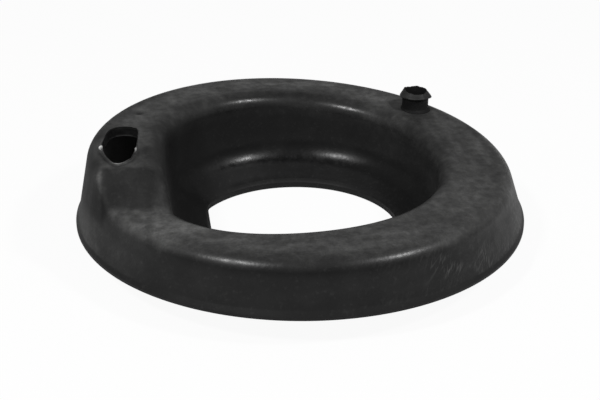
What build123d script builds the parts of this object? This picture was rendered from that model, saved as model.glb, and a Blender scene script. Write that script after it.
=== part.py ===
from build123d import *
from math import cos, exp, radians, sin, sqrt
import os

# Rubber cap that sits between the end coil of a suspension spring and the car body.
# It is one moulding, shown as it lies on a bench: crown up, coil channel open underneath.
# The origin is on the axis of the base lip, at the level of the neck's lower rim.
# Lengths are in millimetres, and angles in degrees from +X towards +Y.

# Overall sizes
lip_diameter = 140.0
wall = 2.8
lip_level = 8.8               # base lip above the neck's lower rim
low_crown = 15.0              # crown above the lip along the flat coil
high_crown = 24.2             # crown above the lip beside the step

# Widths across the wall, from the lip inwards, at corners before they are rounded
skirt_lean = 5.5              # lip to the crown's outer corner
crown_width = 21.1
bowl_lean = 2.4               # crown's inner corner to the foot of the bowl wall
floor_width = 8.2             # foot of the bowl wall to the bore

# Base lip and skirt
lip_thickness = 0.9
lip_overhang = 1.0            # lip beyond the skirt
lip_flare = 2.6               # height over which the skirt turns out to the lip
flare_fillet = 3.0
shoulder_radius = 5.0

# Bowl, a circle with a flat on its left side and a full corner in front of the flat
bowl_flat_angle = 187.0
bowl_top_flat_depth = 1.2     # flat inside the circle, at the crown
bowl_foot_flat_depth = 2.7    # and at the floor
bowl_shoulder_radius = 5.0
step_shoulder_radius = 3.3    # the same, where the step makes the corner sharp
corner_reach = 5.8            # how far the front left corner stands out of the circle
corner_angle = 233.0
corner_spread = 34.0
flat_blend = 3.0
flat_facing = 0.3             # cosine of the angle off a flat, past which only the circle counts
floor_drop = 1.7              # foot of the bowl wall, below the lip
floor_fillet = 7.0

# Neck and its bore, which has a flat like the bowl's
bore_shift = -1.2             # bore axis from the lip axis, along X
bore_flat_angle = 189.0
bore_flat_depth = 4.7         # flat inside the bore's circle, from the lip axis
bore_corner = 4.0
bore_land = 2.0               # length of the true bore
lead_width = 1.05             # lead between the floor's edge and the bore
lead_height = 1.2

# Rise of the crown, which follows the spring's end coil
rise_start = 8.0
rise_end = 125.0
soft_start = 0.28             # share of the rise over which it sets in
soft_end = 0.30
step_top = -26.0              # Y where the crown begins to drop
step_foot = -35.0             # Y where it is down again

# Barbed nipple
nipple_offset = 2.05          # outside the middle of the crown
nipple_angle = 45.5
shaft_diameter = 9.0
shaft_length = 4.6
barb_overhang = 0.7
barb_edge = 0.5
mouth_diameter = 6.8
nipple_height = 6.9
nipple_bore = 5.4
collar_height = 0.4
collar_width = 0.4

# Torn opening in the crown, beside the step
tear_margin = 3.6             # from the crown's outer corner
tear_width = 10.5
tear_back = 5.6
tear_front = -23.4
tear_corner = 2.2
tear_lean = 1.0               # how far its right side leans out, and its front leans away
tear_tip = 4.2                # width of its front
tear_waist = -11.0            # Y of the nick in each side
nick_width = 1.0
nick_depth = 1.0

# Places round the ring where the section is drawn: close together over the step
step_sector = (192, 242)
section_pitch = 10
step_pitch = 2.5
roof_shares = (0.3, 0.45, 0.6)  # places across the crown where its height is taken
bore_stock = 0.8              # left on the bore by the section, and cut afterwards

lip_radius = lip_diameter / 2
crown_radius = lip_radius - skirt_lean
bowl_top_radius = crown_radius - crown_width
bowl_foot_radius = bowl_top_radius - bowl_lean
bore_radius = bowl_foot_radius - floor_width
bowl_top_flat = bowl_top_radius - bowl_top_flat_depth
bowl_foot_flat = bowl_foot_radius - bowl_foot_flat_depth
bore_flat = bore_radius - bore_flat_depth
nipple_reach = (crown_radius + bowl_top_radius) / 2 + nipple_offset
tear_left = tear_margin - crown_radius
tear_right = tear_left + tear_width


def ease(share):
    """0 to 1 with level ends"""
    share = min(max(share, 0.0), 1.0)
    return share * share * (3 - 2 * share)


def soft_ramp(share, softness):
    """0 below nought and share above it, rounded between"""
    return (share + sqrt(share**2 + softness**2)) / 2


def rise(angle):
    """share of the crown's rise at an angle: a straight helix with soft ends"""
    share = (angle - rise_start) / (rise_end - rise_start)
    return soft_ramp(share, soft_start) - soft_ramp(share - 1, soft_end)


def crown(angle, radius):
    """height of the crown over the lip: the helix, and the drop square to the end coil"""
    turn = (angle + 90) % 360 - 90
    share = rise(turn)
    if turn > rise_end:
        dropped = ease((step_top - radius * sin(radians(turn))) / (step_top - step_foot))
        share += (rise(turn - 360) - share) * dropped
    return low_crown + (high_crown - low_crown) * share


def meet(around, straight):
    """the nearer of two distances, with the corner between them rounded"""
    gap = sqrt((around - straight) ** 2 + flat_blend**2)
    return min(around, (around + straight - gap) / 2 + flat_blend / 4)


def bowl_plan(angle, circle, flat):
    """distance from the lip axis to the bowl wall, where it has this circle and this flat"""
    apart = (angle - corner_angle + 180) % 360 - 180
    around = circle + corner_reach * exp(-((apart / corner_spread) ** 2))
    facing = cos(radians(angle - bowl_flat_angle))
    return meet(around, flat / facing) if facing > flat_facing else around


def neck_plan(angle, offset):
    """distance from the lip axis to a line this far outside the bore"""
    along = bore_shift * cos(radians(angle))
    across = bore_shift * sin(radians(angle))
    around = along + sqrt((bore_radius + offset) ** 2 - across**2)
    facing = cos(radians(angle - bore_flat_angle))
    return min(around, (bore_flat + offset) / facing) if facing > flat_facing else around


def inset(before, corner, after):
    """corner of the underside, one wall inside the corner of the top side"""
    first = (corner - before).normalized()
    second = (after - corner).normalized()
    first_normal = Vector(first.Y, -first.X)
    second_normal = Vector(second.Y, -second.X)
    return corner - (first_normal + second_normal) * (wall / (1 + first_normal.dot(second_normal)))


def filleted(corners):
    """edges of an open outline through (corner, rounding) pairs"""
    points = [corner for corner, radius in corners]
    return FilletPolyline(*points, radius=[radius for corner, radius in corners[1:-1]]).edges()


def section(angle):
    """wall of the moulding in the radial plane at an angle"""
    bowl_top = bowl_plan(angle, bowl_top_radius, bowl_top_flat)
    bowl_foot = bowl_plan(angle, bowl_foot_radius, bowl_foot_flat)
    skirt = Vector(lip_radius - lip_overhang, lip_flare)
    outer = Vector(crown_radius, crown(angle, crown_radius))
    across = [crown_radius + (bowl_top - crown_radius) * share for share in roof_shares]
    roof = [Vector(radius, crown(angle, radius)) for radius in across]
    inner = Vector(bowl_top, crown(angle, bowl_top))
    steepness = (inner.Y - roof[2].Y) / (roof[2].X - inner.X)
    sharper = (bowl_shoulder_radius - step_shoulder_radius) * ease(steepness)
    floor = Vector(bowl_foot, -floor_drop)
    edge = Vector(neck_plan(angle, lead_width), bore_land + lead_height - lip_level)
    stock = neck_plan(angle, 0) - bore_stock
    stock_height = bore_land - lip_level - bore_stock * lead_height / lead_width
    neck_outside = neck_plan(angle, wall)
    under_floor = inset(inner, floor, edge)
    floor_slope = (floor.Y - edge.Y) / (floor.X - edge.X)
    neck_top = under_floor.Y - floor_slope * (under_floor.X - neck_outside)
    under_outer = inset(skirt, outer, roof[0])
    skirt_slope = (skirt.X - outer.X) / (outer.Y - skirt.Y)
    lip_inside = under_outer.X + under_outer.Y * skirt_slope
    under_first = inset(outer, roof[0], roof[1])
    under_middle = inset(roof[0], roof[1], roof[2])
    under_last = inset(roof[1], roof[2], inner)
    under_inner = inset(roof[2], inner, floor)
    skirt_side = [
        (under_first, 0),
        (under_outer, shoulder_radius - wall),
        (Vector(lip_inside, 0), 0),
        (Vector(lip_radius, 0), 0),
        (Vector(lip_radius, lip_thickness), 0),
        (skirt, flare_fillet),
        (outer, shoulder_radius),
        (roof[0], 0),
    ]
    bowl_side = [
        (roof[2], 0),
        (inner, bowl_shoulder_radius - sharper),
        (floor, floor_fillet),
        (edge, 0),
        (Vector(stock, stock_height), 0),
        (Vector(stock, -lip_level), 0),
        (Vector(neck_outside, -lip_level), 0),
        (Vector(neck_outside, neck_top), 0),
        (under_floor, floor_fillet + wall),
        (under_inner, bowl_shoulder_radius - sharper - wall),
        (under_last, 0),
    ]
    edges = filleted(skirt_side)
    edges += Spline(*roof, tangents=(roof[0] - outer, inner - roof[2])).edges()
    edges += filleted(bowl_side)
    under_tangents = (under_last - under_inner, under_outer - under_first)
    edges += Spline(under_last, under_middle, under_first, tangents=under_tangents).edges()
    outwards = Vector(cos(radians(angle)), sin(radians(angle)))
    plane = Plane(origin=(0, 0, lip_level), x_dir=outwards, z_dir=outwards.cross(Vector(0, 0, 1)))
    return plane.location * Wire(edges)


def sector(first, last, pitch):
    """loft through evenly spaced sections from one angle to another"""
    count = round((last - first) / pitch)
    return Solid.make_loft([section(first + (last - first) * step / count) for step in range(count + 1)])


def shell():
    """the whole moulding but for the nipple and the openings"""
    step_first, step_last = step_sector
    ring = Part() + sector(step_last - 360, step_first, section_pitch)
    return ring + sector(step_first, step_last, step_pitch)


def nipple_foot():
    """centre of the nipple where it stands on the crown"""
    turn = radians(nipple_angle)
    level = lip_level + crown(nipple_angle, nipple_reach)
    return Vector(nipple_reach * cos(turn), nipple_reach * sin(turn), level)


def nipple():
    """turned outline of the barbed nipple, with its root inside the wall of the crown"""
    shaft = shaft_diameter / 2
    barb = shaft + barb_overhang
    outline = Polyline(
        (0, -wall / 2),
        (shaft + collar_width, -wall / 2),
        (shaft + collar_width, collar_height / 2),
        (shaft, collar_height),
        (shaft, shaft_length),
        (barb, shaft_length),
        (barb, shaft_length + barb_edge),
        (mouth_diameter / 2, nipple_height),
        (0, nipple_height),
        close=True,
    )
    turned = revolve(Plane.XZ * make_face(outline), Axis.Z)
    return Pos(nipple_foot()) * turned


def nipple_hole():
    """bore of the nipple, through the wall of the crown and open at the torn tip"""
    depth = nipple_height + 3 * wall
    return Pos(nipple_foot() + Vector(0, 0, nipple_height - depth / 2 + 1)) * Cylinder(nipple_bore / 2, depth)


def tear():
    """ragged opening: squarish at the back, a nick in each side, narrower and rounded at the front"""
    right_waist = tear_right + tear_lean
    left_behind = (tear_left, tear_waist + nick_width)
    left_front = (tear_left + 2 * tear_lean, tear_waist - 3 * nick_width)
    right_behind = (right_waist, tear_waist + nick_width)
    right_front = (right_waist, tear_waist - nick_width)
    behind = [right_behind, (tear_right, tear_back), (tear_left, tear_back), left_behind]
    in_front = [left_front, (tear_right - tear_tip, tear_front), (right_waist, tear_front), right_front]
    outline = FilletPolyline(*behind, radius=tear_corner)
    outline += Polyline(left_behind, (tear_left - nick_depth / 2, tear_waist), left_front)
    outline += FilletPolyline(*in_front, radius=tear_corner)
    outline += Polyline(right_front, (right_waist + nick_depth, tear_waist), right_behind)
    roof = lip_level + high_crown - 2 * wall
    return Pos(0, 0, roof) * extrude(make_face(outline), 4 * wall)


def bore():
    """true bore through the neck, with its flat"""
    depth = 4 * lip_level
    turn = radians(bore_flat_angle)
    beyond = bore_flat + lip_radius / 2
    slab = Pos(beyond * cos(turn), beyond * sin(turn)) * Rot(0, 0, bore_flat_angle)
    outline = Pos(bore_shift, 0) * Circle(bore_radius) - slab * Rectangle(lip_radius, lip_diameter)
    outline = fillet(outline.vertices(), bore_corner)
    return Pos(0, 0, -depth / 2) * extrude(outline, depth)


def build():
    body = shell()
    body -= bore()
    body += nipple()
    body -= nipple_hole()
    body -= tear()
    return body


if __name__ == "__main__":
    os.makedirs("parts", exist_ok=True)
    spring_cap = build()
    export_step(spring_cap, "parts/spring_cap.step")
    print("spring_cap", len(spring_cap.solids()), "solid", round(spring_cap.volume / 1000, 1), "cm3")
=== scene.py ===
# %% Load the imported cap
import math

import bpy
import numpy as np
from mathutils import Matrix, Vector


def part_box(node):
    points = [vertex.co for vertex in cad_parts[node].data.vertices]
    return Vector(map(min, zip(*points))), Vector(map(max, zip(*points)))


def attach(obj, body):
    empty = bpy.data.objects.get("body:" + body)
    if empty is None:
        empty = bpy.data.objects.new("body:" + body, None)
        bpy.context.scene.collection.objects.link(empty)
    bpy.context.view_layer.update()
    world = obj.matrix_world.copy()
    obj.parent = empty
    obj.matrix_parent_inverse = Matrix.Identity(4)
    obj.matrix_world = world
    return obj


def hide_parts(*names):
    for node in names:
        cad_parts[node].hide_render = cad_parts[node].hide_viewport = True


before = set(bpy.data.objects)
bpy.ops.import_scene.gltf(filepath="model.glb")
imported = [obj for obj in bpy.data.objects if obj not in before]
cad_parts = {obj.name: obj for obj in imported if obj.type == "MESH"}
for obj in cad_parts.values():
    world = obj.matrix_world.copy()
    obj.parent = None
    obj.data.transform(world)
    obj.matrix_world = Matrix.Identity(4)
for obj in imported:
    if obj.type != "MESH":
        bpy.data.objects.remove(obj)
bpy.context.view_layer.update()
MM = 0.001
low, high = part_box("spring_cap")
print("cap from", [round(v / MM, 1) for v in low], "to", [round(v / MM, 1) for v in high], "mm")

# %% [markdown]
# The object is one black rubber moulding that sits between the last coil of a car's suspension
# spring and the body. The wall is a thin sheet that runs up the skirt, over the crown, down into
# the bowl and through the neck. It could be modelled by hand from a ring of faces, but its section
# hardly changes round the ring: only the crown climbs with the coil and then drops in a step. So
# the surface is worked out as a grid. One parameter goes round the ring, and the other goes once
# round the section of the wall. The sizes are in millimetres, like a drawing's, and the mesh is
# scaled to metres at the end. Heights count from the lip, which is LIP_LEVEL over the floor.

# %% Sizes of the moulding
LIP_RADIUS = (high.x - low.x) / 2 / MM
LIP_LEVEL = 8.8
WALL = 2.8
LOW_CROWN, HIGH_CROWN = 15.0, 24.2
SKIRT_LEAN, CROWN_WIDTH, BOWL_LEAN, FLOOR_WIDTH = 5.5, 21.1, 0.4, 10.2
CROWN_RADIUS = LIP_RADIUS - SKIRT_LEAN
BOWL_TOP_RADIUS = CROWN_RADIUS - CROWN_WIDTH
BOWL_FOOT_RADIUS = BOWL_TOP_RADIUS - BOWL_LEAN
BORE_RADIUS = BOWL_FOOT_RADIUS - FLOOR_WIDTH
CROWN_MIDDLE = (CROWN_RADIUS + BOWL_TOP_RADIUS) / 2
print("lip radius", round(LIP_RADIUS, 2), "bore radius", round(BORE_RADIUS, 2), "mm")

# %% [markdown]
# The crown follows the spring's end coil. Its height could be drawn as a curve through a few
# points, but a coil is a helix, so a straight climb with soft ends gives the height at each
# angle. Beside the start of the coil the crown drops again, and the line of that drop is
# straight across the ring, because the coil's cut end is straight too. The drop is therefore
# worked out from Y and not from the angle. Angles are in degrees from the right, by way of the
# back.

# %% Height of the crown
RISE_START, RISE_END = 8.0, 125.0
SOFT_START, SOFT_END = 0.28, 0.30
STEP_TOP, STEP_FOOT = -26.0, -35.0
STEP_AFTER_ANGLE = 150.0


def ease(share):
    """0 to 1 with level ends: three times the square less twice the cube"""
    share = np.clip(share, 0, 1)
    return share * share * (3 - 2 * share)


def soft_ramp(share, softness):
    """0 below nought and share above it, with a rounded bend: the mean of share and its rounded size"""
    return (share + np.sqrt(share**2 + softness**2)) / 2


def rise(angle):
    """share of the climb at an angle, one soft ramp less another that starts at its end"""
    share = (angle - RISE_START) / (RISE_END - RISE_START)
    return soft_ramp(share, SOFT_START) - soft_ramp(share - 1, SOFT_END)


def counted_from_front(angle):
    """the same angle between -90 and 270 degrees"""
    return (angle + 90) % 360 - 90


def dropped(angle, radius):
    """0 before the step and 1 after it, by the point's Y, on the left side only"""
    fall = ease((STEP_TOP - radius * np.sin(np.radians(angle))) / (STEP_TOP - STEP_FOOT))
    return np.where(angle > STEP_AFTER_ANGLE, fall, 0.0)


def crown(angle, radius):
    """height of the crown over the lip: the climb, and past the step the climb one turn earlier"""
    angle = counted_from_front(angle)
    share = rise(angle) + (rise(angle - 360) - rise(angle)) * dropped(angle, radius)
    return LOW_CROWN + (HIGH_CROWN - LOW_CROWN) * share


heights = crown(np.array([0.0, 90.0, 180.0]), CROWN_MIDDLE)
print("crown over the lip at 0, 90 and 180 degrees:", np.round(heights, 1))

# %% [markdown]
# Seen from above, the bowl isn't round. It has a flat on its left side, where the wall stays
# clear of the coil's end, and a full corner in front of that flat. The bore has a flat as well.
# Both could be cut out of a round bowl, but a cut leaves sharp edges and an uneven mesh. Here
# each is a circle and a straight line in polar form, and the nearer of the two is the wall.

# %% Bowl and bore seen from above
BOWL_FLAT_ANGLE, BORE_FLAT_ANGLE = 187.0, 189.0
BOWL_FLAT_BLEND, BORE_FLAT_BLEND = 3.0, 1.2
TOP_FLAT_DEPTH, FOOT_FLAT_DEPTH, BORE_FLAT_DEPTH = 1.2, 2.7, 4.7
CORNER_REACH, CORNER_ANGLE, CORNER_SPREAD = 5.8, 233.0, 34.0
BORE_SHIFT = -1.2
LEAST_COSINE = 0.3


def nearer(around, straight, blend):
    """the smaller of two distances, with their meeting rounded over about this length"""
    return (around + straight - np.sqrt((around - straight) ** 2 + blend**2)) / 2 + blend / 4


def flat_side(around, flat, angle, facing_angle, blend):
    """a circle cut by a straight line: the line's distance grows with one over the cosine"""
    facing = np.cos(np.radians(angle - facing_angle))
    straight = flat / np.maximum(facing, LEAST_COSINE)
    return np.where(facing > LEAST_COSINE, np.minimum(around, nearer(around, straight, blend)), around)


def bowl_plan(angle, circle, flat_depth):
    """distance to the bowl wall: a circle, a bell-shaped bulge at the corner, and the flat"""
    apart = (angle - CORNER_ANGLE + 180) % 360 - 180
    around = circle + CORNER_REACH * np.exp(-((apart / CORNER_SPREAD) ** 2))
    return flat_side(around, circle - flat_depth, angle, BOWL_FLAT_ANGLE, BOWL_FLAT_BLEND)


def neck_plan(angle, offset):
    """distance to a line this far outside the bore, whose circle is shifted along X"""
    along = BORE_SHIFT * np.cos(np.radians(angle))
    aside = BORE_SHIFT * np.sin(np.radians(angle))
    around = along + np.sqrt((BORE_RADIUS + offset) ** 2 - aside**2)
    return flat_side(around, BORE_RADIUS - BORE_FLAT_DEPTH + offset, angle, BORE_FLAT_ANGLE, BORE_FLAT_BLEND)


at_flat = bowl_plan(np.array([BOWL_FLAT_ANGLE]), BOWL_TOP_RADIUS, TOP_FLAT_DEPTH)
print("bowl's wall at the flat:", np.round(at_flat, 1), "mm from the axis")

# %% [markdown]
# A section of the wall is a closed outline of straight lines with rounded corners. Only the roof
# is curved, since the step runs across it. It could take its height from the crown at every
# point, but then its ends wouldn't run straight into the two shoulders. So it goes through three
# points of the crown by two cubics, and it is straight at both ends.

# %% Points across the roof
ROOF_SHARES = (0.3, 0.45, 0.6)


def roof_points(angle):
    """five points across the roof: its outer corner, three on the crown, and its corner at the bowl"""
    bowl_top = bowl_plan(angle, BOWL_TOP_RADIUS, TOP_FLAT_DEPTH)
    radii = [CROWN_RADIUS + (bowl_top - CROWN_RADIUS) * share for share in (0, *ROOF_SHARES, 1)]
    return [np.stack([radius, crown(angle, radius)], -1) for radius in radii]


def cubic(place, start, end, height, slope):
    """the cubic between two places that has these two heights and these two slopes at its ends"""
    span = end - start
    t = (place - start) / span
    bends = slope[0] * t * (1 - t) ** 2 - slope[1] * t * t * (1 - t)
    return height[0] + (height[1] - height[0]) * ease(t) + span * bends


def across(five, radius):
    """height at a radius of a line through five points: straight up to the second and from the
    fourth on, and between them two cubics that meet at the third with one slope and one bend"""
    span = five[4][:, 0] - five[0][:, 0]
    x = [(point[:, 0] - five[0][:, 0]) / span for point in five]
    h = [point[:, 1] for point in five]
    place = (radius - five[0][:, 0]) / span
    first, last = (h[1] - h[0]) / x[1], (h[4] - h[3]) / (1 - x[3])
    a, b = x[2] - x[1], x[3] - x[2]
    middle = 3 * ((h[2] - h[1]) / a**2 + (h[3] - h[2]) / b**2) - first / a - last / b
    middle = middle / (2 / a + 2 / b)
    before = cubic(place, x[1], x[2], h[1:3], (first, middle))
    after = cubic(place, x[2], x[3], h[2:4], (middle, last))
    curved = np.where(place < x[2], before, after)
    straight = np.where(place < x[2], h[0] + first * place, h[4] - last * (1 - place))
    return np.where((place > x[1]) & (place < x[3]), curved, straight)


over_step = roof_points(np.array([225.0]))
print("roof heights across the step:", [round(float(point[0, 1]), 1) for point in over_step])

# %% [markdown]
# The underside could be the top side moved down, but then a steep wall would come out thin. Its
# corners are the top side's corners moved in by one wall, square to both of their lines, so that
# the sheet keeps its thickness. The foot of the bowl wall isn't level: it is highest at the back
# left.

# %% Helpers for the section
FOOT_LOWEST, FOOT_CLIMB, FOOT_HIGH_ANGLE = -1.5, 3.5, 140.0


def unit(v):
    """vectors of length one in the same directions"""
    return v / np.linalg.norm(v, axis=-1, keepdims=True)


def inset(before, corner, after):
    """the corner moved inwards so that both of its lines move by one wall"""
    first, second = unit(corner - before), unit(after - corner)
    first_normal = np.stack([first[:, 1], -first[:, 0]], -1)
    second_normal = np.stack([second[:, 1], -second[:, 0]], -1)
    facing = (first_normal * second_normal).sum(-1, keepdims=True)
    return corner - (first_normal + second_normal) * (WALL / (1 + facing))


def foot_height(angle):
    """height of the bowl wall's foot: a wave once round, because its plane tilts up to the back left"""
    return FOOT_LOWEST + FOOT_CLIMB * (1 + np.cos(np.radians(angle - FOOT_HIGH_ANGLE))) / 2


print("foot of the bowl wall from", FOOT_LOWEST, "to", FOOT_LOWEST + FOOT_CLIMB, "mm over the lip")

# %% [markdown]
# Now the whole outline can be written down. Every corner is worked out for all angles at once,
# as an array of (radius, height) pairs, and each has a number by which later cells call it. The
# rounding at the bowl's edge gets sharper in the step, because the roof falls steeply towards it.

# %% Corners of the section
SKIRT, OUTER, INNER, FOOT, EDGE, BORE = 2, 3, 4, 5, 6, 7
UNDER_FLOOR, UNDER_INNER, UNDER_OUTER, UNDER_LIP = 11, 12, 13, 14
LIP_EDGE = 0.9
SKIRT_INSET, SKIRT_START = 1.0, 2.6
LEAD_WIDTH, FLOOR_EDGE, BORE_TOP = 1.05, 3.2, 2.0
SHOULDER_RADIUS, STEP_SHARPER = 5.0, 1.7
FLOOR_FILLET, UNDER_FILLET = 9.0, 9.8
ROOF_STEPS, SHOULDER_STEPS, UNDER_STEPS = 28, 12, 6


def section_corners(angle):
    """(corner, rounding, steps round it, steps to the next corner), from the lip's foot over the top,
    and the three points between two corners where the wall is curved"""
    def at(radius, height):
        """(radius, height) pairs at every angle, from arrays or from single numbers"""
        return np.stack(np.broadcast_arrays(radius + 0 * angle, height + 0 * angle), -1)

    skirt = at(LIP_RADIUS - SKIRT_INSET, SKIRT_START)
    outer, *roof, inner = roof_points(angle)
    steepness = (inner[:, 1] - roof[2][:, 1]) / (roof[2][:, 0] - inner[:, 0])
    bowl_edge = SHOULDER_RADIUS - STEP_SHARPER * ease(steepness)[:, None]
    foot = at(bowl_plan(angle, BOWL_FOOT_RADIUS, FOOT_FLAT_DEPTH), foot_height(angle))
    edge = at(neck_plan(angle, LEAD_WIDTH), FLOOR_EDGE - LIP_LEVEL)
    under_floor = inset(inner, foot, edge)
    under_outer = inset(skirt, outer, roof[0])
    chain = [outer, *roof, inner]
    under_roof = [inset(*chain[k : k + 3]) for k in (2, 1, 0)]
    neck_inside, neck_outside = neck_plan(angle, 0), neck_plan(angle, WALL)
    floor_slope = (foot[:, 1] - edge[:, 1]) / (foot[:, 0] - edge[:, 0])
    neck_top = under_floor[:, 1] - floor_slope * (under_floor[:, 0] - neck_outside)
    skirt_slope = (skirt[:, 0] - outer[:, 0]) / (outer[:, 1] - skirt[:, 1])
    under_skirt = under_outer[:, 0] + under_outer[:, 1] * skirt_slope
    corners = [
        (at(LIP_RADIUS, 0), 0.2, 2, 1),
        (at(LIP_RADIUS, LIP_EDGE), 0.3, 3, 2),
        (skirt, 3.0, 6, 10),
        (outer, SHOULDER_RADIUS, SHOULDER_STEPS, ROOF_STEPS),
        (inner, bowl_edge, SHOULDER_STEPS, 9),
        (foot, FLOOR_FILLET, 12, 7),
        (edge, 0.25, 3, 1),
        (at(neck_inside, BORE_TOP - LIP_LEVEL), 0.3, 3, 2),
        (at(neck_inside, -LIP_LEVEL), 0.3, 3, 2),
        (at(neck_outside, -LIP_LEVEL), 0.3, 3, 3),
        (at(neck_outside, neck_top), 0.8, 4, 4),
        (under_floor, UNDER_FILLET, 8, 8),
        (inset(roof[2], inner, foot), bowl_edge - WALL, UNDER_STEPS, ROOF_STEPS),
        (under_outer, SHOULDER_RADIUS - WALL, UNDER_STEPS, 8),
        (at(under_skirt, 0), 0.2, 2, 1),
    ]
    return corners, {OUTER: roof, UNDER_INNER: under_roof}


print(len(section_corners(np.array([0.0]))[0]), "corners round the wall")

# %% [markdown]
# A Bevel modifier could round the corners, but it would do so after the grid is made, and the
# rows would no longer be known by number. So each rounded corner is an arc that touches both of
# its lines. The arc runs between two unit vectors from its centre, blended by sines so that the
# steps are equal. Straight stretches get a few points of their own, evenly spaced.

# %% Outline of the section at many angles
def rounded(before, corner, after, radius, steps):
    """points of the arc at a corner, as an array of (step, angle, 2)"""
    back, forth = unit(before - corner), unit(after - corner)
    half = np.arccos((back * forth).sum(-1, keepdims=True)) / 2
    centre = corner + unit(back + forth) * radius / np.sin(half)
    start = corner + back * radius / np.tan(half)
    end = corner + forth * radius / np.tan(half)
    sweep = math.pi - 2 * half
    share = np.linspace(0, 1, steps + 1)[:, None, None]
    arc = np.sin((1 - share) * sweep) * (start - centre) + np.sin(share * sweep) * (end - centre)
    return centre + arc / np.sin(sweep)


def outline(angle):
    """all points of the section, row after row, and the row at which each corner's arc starts"""
    corners, bends = section_corners(angle)
    places = [corner for corner, *_ in corners]
    ahead = places[1:] + places[:1]
    arcs = []
    for k, (corner, radius, steps, _) in enumerate(corners):
        before = bends[k - 1][-1] if k - 1 in bends else places[k - 1]
        after = bends[k][0] if k in bends else ahead[k]
        arcs.append(rounded(before, corner, after, radius, steps))
    rows, starts = [], []
    for k, (corner, _, _, gap) in enumerate(corners):
        share = (np.arange(1, gap + 1) / (gap + 1))[:, None, None]
        following = arcs[(k + 1) % len(arcs)][0]
        between_arcs = arcs[k][-1] + share * (following - arcs[k][-1])
        if k in bends:
            between_arcs[..., 1] = across([corner, *bends[k], ahead[k]], between_arcs[..., 0])
        starts.append(sum(len(r) for r in rows))
        rows += [arcs[k], between_arcs]
    return np.concatenate(rows), starts


print("first row of each corner:", outline(np.array([0.0]))[1])

# %% [markdown]
# Even spacing round the ring would do for most of it. But the step and the torn opening have
# small shapes, so the columns are closer together there. A density that swells on that side is
# added up and then read backwards, which gives the angles.

# %% Angles of the columns
COLUMNS = 432
DENSE_ANGLE, DENSE_SPREAD, DENSER = 196.0, 30.0, 1.9
FIRST_ANGLE, FINE_STEPS = -118, 7201


def column_angles():
    """angles whose spacing is one over a density with a flat-topped bell"""
    fine = np.linspace(FIRST_ANGLE, FIRST_ANGLE + 360, FINE_STEPS)
    density = 1 + DENSER * np.exp(-(((fine - DENSE_ANGLE) / DENSE_SPREAD) ** 4))
    total = np.concatenate([[0], np.cumsum((density[1:] + density[:-1]) / 2)])
    return np.interp(np.arange(COLUMNS) / COLUMNS * total[-1], total, fine)


angles = column_angles()
section, corner_rows = outline(angles)
ROWS = len(section)
print("grid of", ROWS, "rows by", COLUMNS, "columns,", 2 * ROWS * COLUMNS, "triangles")

# %% [markdown]
# The crown is torn through beside the step. The hole could be cut with a Boolean modifier, but its edge would
# then be a string of slivers. Instead the opening's outline is drawn from above in polar form round its own
# middle: points set after the photograph, joined by straight lines, with a little raggedness from waves of
# different lengths.

# %% Outline of the torn opening
TEAR_MIDDLE = np.array([-55.2, -9.0])
TORN_OUTLINE = np.array([
    (-49.3, -10.0), (-49.7, -5.0), (-50.4, 2.4), (-51.2, 4.5), (-52.9, 5.7), (-55.8, 6.2), (-58.0, 5.3),
    (-59.3, 3.4), (-60.0, 0.8), (-60.0, -8.0), (-59.4, -12.0), (-58.2, -15.4), (-56.9, -18.8),
    (-55.3, -21.7), (-54.0, -23.3), (-52.6, -23.7), (-51.0, -22.3), (-49.6, -19.6), (-49.2, -15.0),
])
TORN_RAGGED = [(17, 1, 0.05), (29, 2, 0.04)]
PARTS_OF_A_LINE = 8


def waves(turn, parts):
    """a sum of sine waves, each given by how many go round, where it starts and its height"""
    return sum(height * np.sin(turn * count + start) for count, start, height in parts)


def direction_of(spoke):
    """angle of vectors seen from above, in radians"""
    return np.arctan2(spoke[..., 1], spoke[..., 0])


def tear_reach(turn):
    """distance from the opening's middle to its edge in each direction: straight lines between the
    corners, each cut into equal parts, and two small waves"""
    spokes = TORN_OUTLINE - TEAR_MIDDLE
    following = np.roll(spokes, -1, axis=0)
    share = np.arange(PARTS_OF_A_LINE)[:, None] / PARTS_OF_A_LINE
    dense = (spokes[:, None] + share * (following - spokes)[:, None]).reshape(-1, 2)
    straight = np.interp(turn, direction_of(dense), np.linalg.norm(dense, axis=1), period=2 * math.pi)
    return straight + waves(turn, TORN_RAGGED)


print("torn edge from its middle:", np.round(tear_reach(np.radians([0.0, 90, 180, 270])), 1), "mm")

# %% [markdown]
# A block of the grid's cells on the roof is left out, and the points round that block are pulled
# onto the outline. The pull fades out within a few cells, so that the rest of the roof stays as
# it is. The same block is left out of the underside, whose rows run the other way.

# %% Pull the grid onto the torn edge
BLOCK_ANGLES = (174.6, 203.6)
OUTER_MARGIN, INNER_MARGIN = 3, 6
FADE_COLUMNS, FADE_ROWS = 9, 6


def roof_block(top):
    """(first row, last row, first column, last column) of the block that is left out"""
    corner, steps = (OUTER, SHOULDER_STEPS) if top else (UNDER_INNER, UNDER_STEPS)
    before, after = (OUTER_MARGIN, INNER_MARGIN) if top else (INNER_MARGIN, OUTER_MARGIN)
    columns = [int(np.argmin(abs(angles - end))) for end in BLOCK_ANGLES]
    return corner_rows[corner] + steps + before, corner_rows[corner + 1] - after - 1, *columns


def to_points(radii_and_heights):
    """(radius, height) pairs on the grid turned to x, y, z, with z from the foot of the neck"""
    turn = np.radians(angles)
    radius, height = radii_and_heights[..., 0], radii_and_heights[..., 1]
    return np.stack([radius * np.cos(turn), radius * np.sin(turn), height + LIP_LEVEL], -1)


def roof_height(plan):
    """height of the roof over the lip at points seen from above"""
    flat = plan.reshape(-1, 2)
    heights = across(roof_points(np.degrees(direction_of(flat))), np.linalg.norm(flat, axis=-1))
    return heights.reshape(plan.shape[:-1])


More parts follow.
